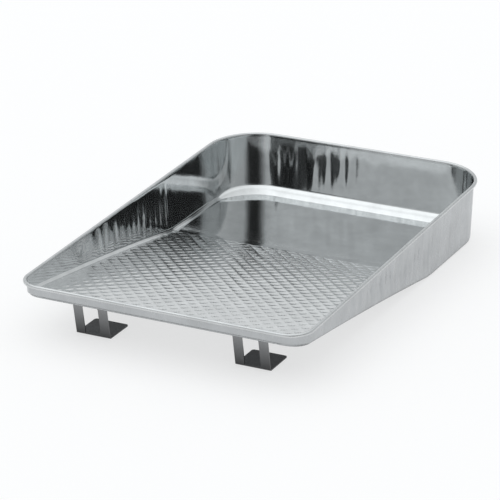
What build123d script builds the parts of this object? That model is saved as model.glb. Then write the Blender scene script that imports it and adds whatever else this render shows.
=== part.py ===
from build123d import *
import os
from math import hypot

# Paint roller tray pressed from thin tin-plated steel sheet, with two ladder legs spot-welded under
# the front of its ramp. All sizes are in millimetres.
# +X is to the tray's right, +Y towards the deep paint well, +Z up.
# The origin is on the ground, under the middle of the tray.

# Overall size, measured over the rolled rim
tray_width = 280.0
tray_length = 428.0

# Rim: the bead's centre line lies in a plane that rises towards the well
bead_radius = 1.75
bead_start = -110.0
bead_wrap = 310.0
bead_lap = 0.25
rim_height_mid = 54.9
rim_rise = 0.027
rim_front_radius = 22.0
rim_rear_radius = 51.0

# Walls: they draw in below the rim by the same draft all the way round
pan_sheet = 0.5
wall_draft = 2.6
bottom_bend_radius = 4.5

# Ramp, as its underside: it falls from the front lip to the well and bows up a little between them
ramp_front_setback = 3.4
ramp_front_height = 38.4
ramp_foot_setback = 287.2
ramp_foot_radius = 60.0
ramp_bow = 1.7

# Ladder legs: one strip each, bent to a welding flange, a raked face with a window, and a foot plate
leg_sheet = 1.0
leg_width = 33.6
leg_spacing = 156.2
leg_hip_along_ramp = 19.9
leg_foot_setback = 30.3
leg_foot_depth = 34.1
leg_flange_depth = 15.0
leg_bend_radius = 1.8
leg_corner_radius = 2.5
window_width = 15.6
window_bottom = 2.2
window_top = 31.0
window_corner_radius = 3.5
weld_dimple_radius = 2.2
weld_dimple_depth = 0.25
weld_spacing = 18.0

# Derived places
front_y = -tray_length / 2
rear_y = tray_length / 2
wall_top_inset = 2 * bead_radius - pan_sheet - bead_lap
rim_stretch = hypot(1, rim_rise)
rim_plane = Plane(origin=(0, 0, rim_height_mid), x_dir=(1, 0, 0), z_dir=(0, -rim_rise, 1))

# The ramp's underside in the tray's side view, where a point is (Y, Z)
ramp_front = Vector(front_y + ramp_front_setback, ramp_front_height)
ramp_foot = Vector(front_y + ramp_foot_setback, 0)
ramp_crown = (ramp_front + ramp_foot) / 2 + Vector(0, ramp_bow)
ramp_underside = ThreePointArc(ramp_front, ramp_crown, ramp_foot)


def rounded_outline(width, front, rear, front_radius, rear_radius):
    """A rectangle across the tray with one radius at its front corners and another at its rear ones."""
    outline = Pos(0, (front + rear) / 2) * Rectangle(width, rear - front)
    outline = fillet(outline.vertices().group_by(Axis.Y)[0], front_radius)
    return fillet(outline.vertices().group_by(Axis.Y)[-1], rear_radius)


def rim_outline(inset):
    """The rim's outline in its own sloping plane, moved in from the tray's outer edge."""
    half_length = (tray_length / 2 - inset) * rim_stretch
    outline = rounded_outline(tray_width - 2 * inset, -half_length, half_length,
                              rim_front_radius - inset, rim_rear_radius - inset)
    return rim_plane * outline


def lifted(edge, lift):
    """A line or an arc of a side view, moved up square to itself."""
    points = []
    for place in (0, 0.5, 1):
        upward = Vector(-(edge % place).Y, (edge % place).X)
        if upward.Y < 0:
            upward = -upward
        points.append(edge @ place + upward * lift)
    if edge.geom_type == GeomType.LINE:
        return Line(points[0], points[2])
    return ThreePointArc(*points)


def under_ramp(lift):
    """Everything below the pan's bottom, with its upper face lifted above the underside."""
    overrun = 30.0
    bottom = -2 * rim_height_mid
    lead_in = Line(ramp_front - (ramp_underside % 0) * overrun, ramp_front)
    floor = Line(ramp_foot, (rear_y + overrun, 0))
    top = Wire([lead_in, ramp_underside, floor]).fillet_2d(ramp_foot_radius, [Vertex(*ramp_foot)])
    top = Wire([lifted(edge, lift) for edge in top.edges()])
    front, rear = sorted([top @ 0, top @ 1], key=lambda end: end.X)
    sides = Polyline(front, (front.X, bottom), (rear.X, bottom), rear)
    return extrude(Plane.YZ * make_face([top, sides]), tray_width, both=True)


def under_edges(block):
    """The edges where the bottom of a block meets its walls."""
    bottom = [face for face in block.faces() if face.normal_at().Z < -0.9]
    edges = [edge for face in bottom for edge in face.edges()]
    return [edge for edge in edges if sum(edge.is_same(other) for other in edges) == 1]


def tub(inset):
    """The block inside one face of the sheet: drafted walls, sloping rim, ramp, rounded bottom edge."""
    walls = extrude(rim_outline(wall_top_inset + inset), -2 * rim_height_mid, taper=wall_draft)
    block = walls - under_ramp(inset)
    return block.fillet(bottom_bend_radius - inset, under_edges(block))


def rolled_rim():
    """The sheet's edge, curled outward over the top of the wall until it nearly meets the wall again."""
    path = rim_outline(bead_radius).wire()
    section_plane = Plane(origin=path @ 0, x_dir=rim_plane.z_dir, z_dir=path % 0)
    outer = CenterArc((0, 0), bead_radius, bead_start, bead_wrap)
    inner = CenterArc((0, 0), bead_radius - pan_sheet, bead_start, bead_wrap)
    section = make_face([outer, inner, Line(outer @ 0, inner @ 0), Line(outer @ 1, inner @ 1)])
    return sweep(section_plane * section, path=path)


def tray_pan():
    """The pressed pan: well, ramp and walls in one sheet, with its edge rolled all the way round."""
    return tub(0) - tub(pan_sheet) + rolled_rim()


def ladder_leg():
    """One bent strip, centred across the tray, with its flange flat against the ramp's underside."""
    heel_y = front_y + leg_foot_setback
    toe = Vector(heel_y + leg_foot_depth, 0)
    heel = Vector(heel_y, 0)
    hip = ramp_underside.position_at(leg_hip_along_ramp, position_mode=PositionMode.LENGTH)
    flange_end = ramp_underside.position_at(leg_hip_along_ramp + leg_flange_depth,
                                            position_mode=PositionMode.LENGTH)
    outside = FilletPolyline(toe, heel, hip, flange_end, radius=leg_bend_radius)
    side_view = make_face(outside.offset_2d(leg_sheet, side=Side.RIGHT))
    leg = extrude(Plane.YZ * side_view, leg_width / 2, both=True)

    rear_corners = leg.edges().filter_by(Axis.Z).group_by(Axis.Y)[-1]
    leg = fillet(rear_corners, leg_corner_radius)

    window_height = window_top - window_bottom
    window = Pos(0, window_bottom + window_height / 2) * Rectangle(window_width, window_height)
    window = fillet(window.vertices().group_by(Axis.Y)[-1], window_corner_radius)
    leg -= extrude(Plane.XZ.offset(-heel_y) * window, leg_bend_radius * 6, both=True)

    flange_fall = (flange_end - hip).normalized()
    flange_middle = hip + flange_fall * leg_flange_depth * 0.6
    dimple_plane = Plane(origin=(0, flange_middle.X, flange_middle.Y), x_dir=(1, 0, 0),
                         z_dir=(0, flange_fall.Y, -flange_fall.X)).offset(leg_sheet)
    for side in (-1, 1):
        leg -= dimple_plane * Pos(side * weld_spacing / 2, 0) * Cylinder(
            weld_dimple_radius, 2 * weld_dimple_depth)
    return leg


os.makedirs("parts", exist_ok=True)
nodes = {
    "tray_pan": tray_pan(),
    "left_ladder_leg": Pos(-leg_spacing / 2, 0, 0) * ladder_leg(),
    "right_ladder_leg": Pos(leg_spacing / 2, 0, 0) * ladder_leg(),
}
for name, node in nodes.items():
    export_step(node, f"parts/{name}.step")
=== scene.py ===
import math
import bpy
import bmesh
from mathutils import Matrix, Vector, noise


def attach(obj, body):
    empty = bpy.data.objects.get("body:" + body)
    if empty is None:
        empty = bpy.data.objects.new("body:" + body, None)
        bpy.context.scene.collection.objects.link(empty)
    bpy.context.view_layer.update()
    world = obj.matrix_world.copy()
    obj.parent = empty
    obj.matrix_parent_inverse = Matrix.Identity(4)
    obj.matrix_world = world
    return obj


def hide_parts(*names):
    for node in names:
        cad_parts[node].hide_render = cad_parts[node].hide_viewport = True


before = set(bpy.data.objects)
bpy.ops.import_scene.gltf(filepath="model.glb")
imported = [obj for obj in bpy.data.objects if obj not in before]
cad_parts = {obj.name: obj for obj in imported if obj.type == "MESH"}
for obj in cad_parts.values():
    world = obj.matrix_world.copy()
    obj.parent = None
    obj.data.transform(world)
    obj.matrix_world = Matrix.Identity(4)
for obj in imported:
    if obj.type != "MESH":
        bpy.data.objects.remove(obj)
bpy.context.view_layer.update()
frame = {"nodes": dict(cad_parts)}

# Paint roller tray: a pressed tinplate pan with a rolled rim and an embossed ramp, on two ladder legs.
# The scene is in metres and the sizes in the dictionaries are in millimetres.

mm = 0.001
scene = bpy.context.scene
print("frame loaded:", ", ".join(frame["nodes"]))

# a long lens, from the front right and a little above
studio = {
    "azimuth": 26.163,
    "elevation": 21.609,
    "distance": 2540.32,
    "shiftRight": -7.85,    # slides the camera sideways, with no turn
    "shiftUp": 0.58,
    "aim": (0.0, -12.63, 33.56),
    "lens": 199.8,
    "floorSize": 9.0,    # metres
}


def addCamera(name, cfg):
    azimuth = math.radians(cfg["azimuth"])
    elevation = math.radians(cfg["elevation"])
    back = Vector((math.sin(azimuth), -math.cos(azimuth), 0)) * math.cos(elevation)
    back.z = math.sin(elevation)
    right = Vector((math.cos(azimuth), math.sin(azimuth), 0))
    up = back.cross(right)
    data = bpy.data.cameras.new(name)
    data.lens = cfg["lens"]
    data.sensor_width = 36
    data.clip_end = 50
    cam = bpy.data.objects.new(name, data)
    scene.collection.objects.link(cam)
    place = Vector(cfg["aim"]) + right * cfg["shiftRight"] + up * cfg["shiftUp"] + back * cfg["distance"]
    cam.location = place * mm
    cam.rotation_euler = back.to_track_quat("Z", "Y").to_euler()
    scene.camera = cam


addCamera("studioCamera", studio)


def newMaterial(name):
    mat = bpy.data.materials.new(name)
    mat.use_nodes = True
    tree = mat.node_tree
    return mat, tree, tree.nodes["Principled BSDF"]


def addNode(tree, kind, **settings):
    # a setting is one of the node's inputs if it has one of that name, or else a property
    node = tree.nodes.new(kind)
    for key, value in settings.items():
        if key in node.inputs:
            node.inputs[key].default_value = value
        else:
            setattr(node, key, value)
    return node


def mapRange(tree, source, fromRange, toRange=(0.0, 1.0), blend="LINEAR"):
    node = addNode(tree, "ShaderNodeMapRange", interpolation_type=blend)
    node.inputs["From Min"].default_value, node.inputs["From Max"].default_value = fromRange
    node.inputs["To Min"].default_value, node.inputs["To Max"].default_value = toRange
    tree.links.new(source, node.inputs["Value"])
    return node.outputs["Result"]


floorMat, floorTree, floorShader = newMaterial("paleFloor")
floorShader.inputs["Base Color"].default_value = (0.36, 0.362, 0.365, 1)    # a light table: it glows a little
floorShader.inputs["Emission Color"].default_value = (1.0, 1.0, 1.0, 1)
floorShader.inputs["Emission Strength"].default_value = 0.63
floorShader.inputs["Roughness"].default_value = 0.8

bm = bmesh.new()
bmesh.ops.create_grid(bm, x_segments=1, y_segments=1, size=studio["floorSize"] / 2)
floorMesh = bpy.data.meshes.new("studioFloor")
bm.to_mesh(floorMesh)
bm.free()
floorMesh.materials.append(floorMat)
studioFloor = bpy.data.objects.new("studioFloor", floorMesh)
scene.collection.objects.link(studioFloor)

# a white tent around the tray
skyTones = {
    "horizon": 0.64,
    "horizonSlant": (-0.15, 0.10, 0.0),     # a little paler behind the tray and to its left
    "overhead": 1.2,
    "overheadSlant": (-0.5, 0.0, 0.0),     # the big softbox hangs over the left-hand side
    "softboxEdge": (0.52, 0.80),    # where it fades in, as the sine of the elevation
    "darkDoor": (0.47, -0.82, 0.30),    # the dark opening in the front of the tent
    "doorEdge": (0.87, 0.997),    # where it fades in, as the cosine of the angle from its middle
    "darkLevel": 0.02,
    "tint": (0.97, 0.99, 1.0, 1),
}


def leaning(tree, direction, towards, base=0.0):
    # how far the sky's direction leans one way, on top of an even level
    lean = addNode(tree, "ShaderNodeVectorMath", operation="DOT_PRODUCT")
    lean.inputs[1].default_value = towards
    tree.links.new(direction, lean.inputs[0])
    level = addNode(tree, "ShaderNodeMath", operation="ADD")
    level.inputs[1].default_value = base
    tree.links.new(lean.outputs["Value"], level.inputs[0])
    return level.outputs["Value"]


def addStudioWorld(name, cfg):
    world = bpy.data.worlds.new(name)
    scene.world = world
    world.use_nodes = True
    tree = world.node_tree
    light = tree.nodes["Background"]
    light.inputs["Color"].default_value = cfg["tint"]
    direction = addNode(tree, "ShaderNodeTexCoord").outputs["Generated"]

    height = addNode(tree, "ShaderNodeSeparateXYZ")
    tree.links.new(direction, height.inputs[0])
    tent = addNode(tree, "ShaderNodeMix")
    softbox = mapRange(tree, height.outputs["Z"], cfg["softboxEdge"], blend="SMOOTHSTEP")
    tree.links.new(softbox, tent.inputs["Factor"])
    tree.links.new(leaning(tree, direction, cfg["horizonSlant"], cfg["horizon"]), tent.inputs["A"])
    tree.links.new(leaning(tree, direction, cfg["overheadSlant"], cfg["overhead"]), tent.inputs["B"])

    towardsDoor = leaning(tree, direction, Vector(cfg["darkDoor"]).normalized())
    door = mapRange(tree, towardsDoor, cfg["doorEdge"], blend="SMOOTHSTEP")
    shade = addNode(tree, "ShaderNodeMix", B=cfg["darkLevel"])
    tree.links.new(door, shade.inputs["Factor"])
    tree.links.new(tent.outputs["Result"], shade.inputs["A"])
    tree.links.new(shade.outputs["Result"], light.inputs["Strength"])


addStudioWorld("studioWorld", skyTones)
scene.view_settings.view_transform = "Standard"
print("studio ready")

# the pressed pan, one sheet
pan = {
    "width": 280.0,
    "length": 428.0,
    "rimHeight": 54.9,    # at the middle of the tray
    "rimRise": 0.027,    # the rim climbs to the rear
    "frontRadius": 22.0,
    "rearRadius": 51.0,
    "draft": 2.6,    # degrees
    "sheet": 0.5,
    "sideBend": 2.4,    # bend between bottom and wall
    "frontBend": 3.0,
    "rearBend": 7.2,
    "wrinkle": 0.14,    # waves in the walls
    "sidePitch": 11.0,
    "rearPitch": 6.5,
    "rearWaves": 2.8,    # how much stronger they are on the left of the rear wall
    "crumple": 7.0,    # and on the long walls beside the ramp
    "pucker": 1.25,    # sharp upright folds in the long walls
    "puckerPitch": 10.6,
    "puckerFront": -110.0,
    "puckerRear": 98.0,
    "beadRadius": 1.75,
    "beadWrap": 310.0,    # degrees
    "rampFront": (-210.6, 38.4),
    "rampFoot": 73.2,
    "rampBow": 1.7,
    "footBlend": 6.0,
    "margin": 1.2,    # flat strip between the embossed grid and the bend
    "frontCornerRows": 8,
    "wellRows": 24,
    "rearCornerRows": 14,
    "bendSteps": 6,
    "wallSteps": 8,
    "beadSteps": 11,
    "slots": {"wall": 0, "ramp": 2, "bead": 4},    # material slots, each followed by its underside's
}

# the diamonds pressed into the ramp
emboss = {
    "across": 13.26,    # one diamond
    "along": 15.03,
    "cellsAcross": 20,
    "cellsAlong": 18,
    "fineness": 8,    # grid steps to a diamond
    "front": -197.3,
    "lead": 7.5,    # how far the ribs run on in front
    "height": 0.55,
    "fainter": 0.7,    # the second family of ribs
    "ribWidth": 5.2,
    "fade": 3.0,
}

tilt = math.atan(pan["rimRise"])


def smooth(t):
    t = min(max(t, 0.0), 1.0)
    return t * t * (3 - 2 * t)


def bottomHeight(y):
    # the ramp falls with a slight bow, then runs out level under the well
    frontY, frontZ = pan["rampFront"]
    foot = pan["rampFoot"]
    blend = pan["footBlend"]
    run = foot - frontY
    t = (y - frontY) / run
    fall = (frontZ + 4 * pan["rampBow"]) / run
    if y > foot + blend:
        z = 0.0
    elif y > foot - blend:
        z = fall * (foot + blend - y) ** 2 / (4 * blend)
    else:
        z = frontZ * (1 - t) + 4 * pan["rampBow"] * t * (1 - t)
    return z + pan["sheet"]


def ribHeight(x, y):
    # two families of ribs cross into diamonds and fade out at the panel's border
    u = x / emboss["across"] + emboss["cellsAcross"] / 2
    v = (y - emboss["front"]) / emboss["along"]
    pitch = 1 / math.hypot(1 / emboss["across"], 1 / emboss["along"])
    rib = 0.0
    for phase, share in ((u + v, 1.0), (u - v, emboss["fainter"])):
        away = abs(phase - round(phase)) * pitch
        rib = max(rib, share * (0.5 + 0.5 * math.cos(math.pi * min(1.0, away / (emboss["ribWidth"] / 2)))))
    halfWidth = emboss["across"] * emboss["cellsAcross"] / 2
    rear = emboss["front"] + emboss["along"] * emboss["cellsAlong"]
    inside = min(halfWidth - abs(x), y - emboss["front"] + emboss["lead"], rear - y)
    return emboss["height"] * rib * smooth(inside / emboss["fade"])


def rimColumn(x, y, radius, facing):
    # one upright line of the wall: its corner's centre and radius, and the way it faces
    return {"x": x, "y": y, "radius": radius, "facing": facing}


def onWall(column, inset, depth):
    # a place in the rim's sloping plane, then tilted into the tray
    reach = column["radius"] - inset
    x = column["x"] + reach * math.cos(column["facing"])
    along = column["y"] + reach * math.sin(column["facing"])
    y = along * math.cos(tilt) + depth * math.sin(tilt)
    z = pan["rimHeight"] + along * math.sin(tilt) - depth * math.cos(tilt)
    return Vector((x, y, z))


def wallPoint(column, depth):
    inset = 2 * pan["beadRadius"] + depth * math.tan(math.radians(pan["draft"]))
    return onWall(column, inset, depth)


def bendRadius(facing):
    # crisp along the sides, soft under the rear wall
    end = pan["rearBend"] if math.sin(facing) > 0 else pan["frontBend"]
    return pan["sideBend"] + (end - pan["sideBend"]) * smooth(1.5 * abs(math.sin(facing)))


def wrinkle(point, share):
    # the drawn walls are not quite flat: soft upright waves all round
    place = Vector((point.x / pan["rearPitch"], point.y / pan["sidePitch"], point.z / 90))
    wave = pan["wrinkle"] * 2 * noise.noise(place, noise_basis="PERLIN_ORIGINAL")
    wave *= 1 + (pan["rearWaves"] - 1) * smooth((point.y - 185) / 10) * smooth((20 - point.x) / 50)
    # the long walls crumple beside the ramp and pucker where it runs into the well
    sideWall = smooth((abs(point.x) - 120) / 8)
    ahead = smooth((35 - point.y) / 60)
    wave *= 1 + sideWall * (pan["crumple"] * ahead * smooth((point.y + 150) / 60) - 0.75 * (1 - ahead))
    drift = noise.noise(Vector((point.x / 50, point.y / 25, point.z / 40)), noise_basis="PERLIN_ORIGINAL")
    crest = max(0.0, math.cos(2 * math.pi * (point.y / pan["puckerPitch"] + 0.4 * drift))) ** 2
    near = smooth((point.y - pan["puckerFront"]) / 60) * smooth((pan["puckerRear"] - point.y) / 20)
    low = smooth(1.8 * (1 - share) - 0.2 + drift)
    return wave + pan["pucker"] * crest * near * sideWall * low


def columnProfile(column):
    # from the bottom outwards: a flat strip, the bend, the wall, the rolled bead
    depth = 40.0
    for attempt in range(12):    # slide down the wall to the bottom
        place = wallPoint(column, depth)
        depth += place.z - bottomHeight(place.y)
    corner = wallPoint(column, depth)
    upWall = (wallPoint(column, depth - 1) - corner).normalized()
    inward = Vector((-math.cos(column["facing"]), -math.sin(column["facing"]), 0))
    reach = 2.0
    inward.z = (bottomHeight(corner.y + inward.y * reach) - corner.z) / reach
    inward.normalize()
    radius = bendRadius(column["facing"]) - pan["sheet"]
    opening = upWall.angle(inward)
    tangent = radius / math.tan(opening / 2)
    centre = corner + (upWall + inward).normalized() * radius / math.sin(opening / 2)
    first = corner + inward * tangent
    last = corner + upWall * tangent
    border = first + inward * pan["margin"]
    border.z = bottomHeight(border.y)
    points = [border, first]
    for step in range(1, pan["bendSteps"]):
        points.append(centre + (first - centre).slerp(last - centre, step / pan["bendSteps"]))
    points.append(last)
    bendDepth = depth - tangent
    for step in range(1, pan["wallSteps"]):
        share = smooth(step / pan["wallSteps"])
        point = wallPoint(column, bendDepth * (1 - share))
        slack = (1 - abs(2 * share - 1)) * smooth(bendDepth / 40)    # the edges hold the wall still
        points.append(point + inward * wrinkle(point, share) * slack)
    for step in range(pan["beadSteps"] + 1):
        turn = math.radians(180 - pan["beadWrap"] * step / pan["beadSteps"])
        inset = pan["beadRadius"] * (1 - math.cos(turn))
        points.append(onWall(column, inset, -pan["beadRadius"] * math.sin(turn)))
    return points


def rightHandColumns(cfg):
    # front corner, ramp, well and rear corner, with the ramp's rows in step with the diamonds
    halfWidth = cfg["width"] / 2
    halfLength = cfg["length"] / 2 / math.cos(tilt)
    frontX, frontR = halfWidth - cfg["frontRadius"], cfg["frontRadius"]
    rearX, rearR = halfWidth - cfg["rearRadius"], cfg["rearRadius"]
    columns = []
    for step in range(cfg["frontCornerRows"]):
        facing = math.radians(-90 + 90 * step / cfg["frontCornerRows"])
        columns.append(rimColumn(frontX, -halfLength + frontR, frontR, facing))
    rowStep = emboss["along"] / emboss["fineness"]
    for step in range(2, emboss["cellsAlong"] * emboss["fineness"] + 1):
        columns.append(rimColumn(frontX, emboss["front"] + step * rowStep, frontR, 0.0))
    rampEnd = columns[-1]["y"]
    rearStart = halfLength - rearR
    for step in range(1, cfg["wellRows"]):
        y = rampEnd + (rearStart - rampEnd) * step / cfg["wellRows"]
        columns.append(rimColumn(rearX, y, rearR, 0.0))
    for step in range(cfg["rearCornerRows"] + 1):
        columns.append(rimColumn(rearX, rearStart, rearR, math.radians(90 * step / cfg["rearCornerRows"])))
    return columns


def buildPan(name, cfg):
    right = rightHandColumns(cfg)
    left = [rimColumn(-c["x"], c["y"], c["radius"], math.pi - c["facing"]) for c in right]
    border = [columnProfile(column)[0] for column in right]
    lastI = emboss["cellsAcross"] * emboss["fineness"]
    lastJ = len(right) - 1
    panelHalf = emboss["across"] * emboss["cellsAcross"] / 2
    panelRear = emboss["front"] + emboss["along"] * emboss["cellsAlong"]

    # the bottom: a grid laid over the ramp and the well, each border vertex knowing its column
    bm = bmesh.new()
    bmesh.ops.create_grid(bm, x_segments=lastI, y_segments=lastJ, size=1)
    columnOf = bm.verts.layers.int.new("column")
    profiles = []
    for vert in bm.verts:
        i = round((vert.co.x + 1) / 2 * lastI)
        j = round((vert.co.y + 1) / 2 * lastJ)
        share = 2 * i / lastI - 1
        x, y = share * min(panelHalf, border[j].x), border[j].y
        column = None
        if i == 0:
            x, column = -border[j].x, left[j]
        elif i == lastI:
            x, column = border[j].x, right[j]
        elif j in (0, lastJ):
            column = rimColumn(right[j]["x"] * share, right[j]["y"], right[j]["radius"], right[j]["facing"])
        vert.co = Vector((x, y, bottomHeight(y) + ribHeight(x, y)))
        if column:
            vert[columnOf] = len(profiles)
            profiles.append(columnProfile(column))
    for face in bm.faces:
        if face.calc_center_median().y < panelRear:
            face.material_index = cfg["slots"]["ramp"]

    # the ribs' crests run along edges
    for face in [f for f in bm.faces if abs(f.calc_center_median().x) < panelHalf]:
        corners = list(face.verts)
        rise = [ribHeight(v.co.x, v.co.y) for v in corners]
        if max(rise) < 0.01:
            continue
        first = 0 if rise[0] + rise[2] >= rise[1] + rise[3] else 1
        bmesh.utils.face_split(face, corners[first], corners[first + 2])

    # the bend, the wall and the bead are drawn out of the border ring by ring
    rings = len(profiles[0])
    for ring in range(1, rings):
        slot = cfg["slots"]["wall" if ring < rings - cfg["beadSteps"] else "bead"]
        edges = [edge for edge in bm.edges if edge.is_boundary]
        for part in bmesh.ops.extrude_edge_only(bm, edges=edges)["geom"]:
            if isinstance(part, bmesh.types.BMVert):
                part.co = profiles[part[columnOf]][ring]
            elif isinstance(part, bmesh.types.BMFace):
                part.material_index = slot

    bmesh.ops.scale(bm, vec=(mm, mm, mm), verts=bm.verts)
    bmesh.ops.recalc_face_normals(bm, faces=bm.faces)
    floorFace = min(bm.faces, key=lambda f: f.calc_center_median().xy.length)
    if floorFace.normal.z < 0:    # the sheet grows downwards from its upper face
        bmesh.ops.reverse_faces(bm, faces=bm.faces)
    for face in bm.faces:
        face.smooth = True
    mesh = bpy.data.meshes.new(name)
    bm.to_mesh(mesh)
    bm.free()
    obj = bpy.data.objects.new(name, mesh)
    scene.collection.objects.link(obj)
    thickness = obj.modifiers.new("sheetThickness", "SOLIDIFY")
    thickness.thickness = cfg["sheet"] * mm
    thickness.offset = -1
    thickness.use_even_offset = True
    thickness.material_offset = 1    # the underside takes the slot after
    return obj


# the pan's tinplate in its four finishes, and the legs' plain steel
metals = {
    "brightTinplate": {"colour": (0.71, 0.73, 0.735), "roughness": 0.08, "streaks": 0.10, "grain": 0.06},
    "embossedTinplate": {"colour": (0.765, 0.78, 0.785), "roughness": 0.16, "streaks": 0.04, "grain": 0.03},
    "rimTinplate": {"colour": (0.60, 0.615, 0.62), "roughness": 0.30, "streaks": 0.10, "grain": 0.10},
    "dullTinplate": {"colour": (0.46, 0.475, 0.485), "roughness": 0.30, "streaks": 0.25, "grain": 0.25},
    "legSteel": {"colour": (0.26, 0.265, 0.27), "roughness": 0.22, "streaks": 0.15, "grain": 0.15,
                 "paintedFootShade": 0.25},    # painted shade: darker towards the ground, standing in for the shadow under the tray
}


def bump(tree, height, strength, distance, under=None):
    node = addNode(tree, "ShaderNodeBump", Strength=strength, Distance=distance)
    tree.links.new(height, node.inputs["Height"])
    if under:
        tree.links.new(under, node.inputs["Normal"])
    return node.outputs["Normal"]


def sheetMetal(name, cfg):
    # metal with upright drawing marks, a soft mottle and fine grain, and for the legs painted shade that
    # darkens the colour towards the ground
    mat, tree, shader = newMaterial(name)
    shader.inputs["Metallic"].default_value = 1.0
    place = addNode(tree, "ShaderNodeTexCoord").outputs["Object"]
    upright = addNode(tree, "ShaderNodeMapping", Scale=(1.0, 1.0, 0.06))
    tree.links.new(place, upright.inputs["Vector"])
    marks = addNode(tree, "ShaderNodeTexNoise", Scale=260.0, Detail=4.0, Roughness=0.6)
    tree.links.new(upright.outputs["Vector"], marks.inputs["Vector"])
    mottle = addNode(tree, "ShaderNodeTexNoise", Scale=45.0, Detail=5.0, Roughness=0.62)
    tree.links.new(place, mottle.inputs["Vector"])
    grain = addNode(tree, "ShaderNodeTexNoise", Scale=1400.0, Detail=2.0)
    tree.links.new(place, grain.inputs["Vector"])

    tint = addNode(tree, "ShaderNodeValToRGB")
    low, high = tint.color_ramp.elements
    low.position, high.position = 0.3, 0.72
    low.color = (*(c * 0.90 for c in cfg["colour"]), 1)
    high.color = (*(c * 1.06 for c in cfg["colour"]), 1)
    tree.links.new(mottle.outputs["Fac"], tint.inputs["Fac"])
    colour = tint.outputs["Color"]
    # painted shade: the base colour falls to a quarter at the ground over the lowest 30 mm, standing in for
    # the shadow under the tray
    if "paintedFootShade" in cfg:
        height = addNode(tree, "ShaderNodeSeparateXYZ")
        tree.links.new(place, height.inputs[0])
        paintedGroundShade = addNode(tree, "ShaderNodeVectorMath", operation="SCALE")
        tree.links.new(colour, paintedGroundShade.inputs[0])
        shade = mapRange(tree, height.outputs["Z"], (0.001, 0.030), (cfg["paintedFootShade"], 1.0))
        tree.links.new(shade, paintedGroundShade.inputs["Scale"])
        colour = paintedGroundShade.outputs["Vector"]
    tree.links.new(colour, shader.inputs["Base Color"])

    dullness = (cfg["roughness"] * 0.75, cfg["roughness"] * 1.3)
    tree.links.new(mapRange(tree, marks.outputs["Fac"], (0.3, 0.7), dullness), shader.inputs["Roughness"])

    normal = bump(tree, marks.outputs["Fac"], cfg["streaks"], 0.0004)
    normal = bump(tree, mottle.outputs["Fac"], cfg["streaks"] * 0.8, 0.0012, normal)
    normal = bump(tree, grain.outputs["Fac"], cfg["grain"], 0.0001, normal)
    tree.links.new(normal, shader.inputs["Normal"])
    return mat


metal = {name: sheetMetal(name, cfg) for name, cfg in metals.items()}
print("metals ready:", ", ".join(metal))

# the pan takes the place of its CAD node, and the legs keep their CAD shape
trayPan = buildPan("pressedPan", pan)
for upper in ("brightTinplate", "embossedTinplate", "rimTinplate"):
    trayPan.data.materials.append(metal[upper])
    trayPan.data.materials.append(metal["dullTinplate"])
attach(trayPan, "root")
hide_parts("tray_pan")
print("pan built:", len(trayPan.data.polygons), "faces")

for legName in ("left_ladder_leg", "right_ladder_leg"):
    leg = frame["nodes"][legName]
    leg.data.materials.clear()
    leg.data.materials.append(metal["legSteel"])
print("legs finished")
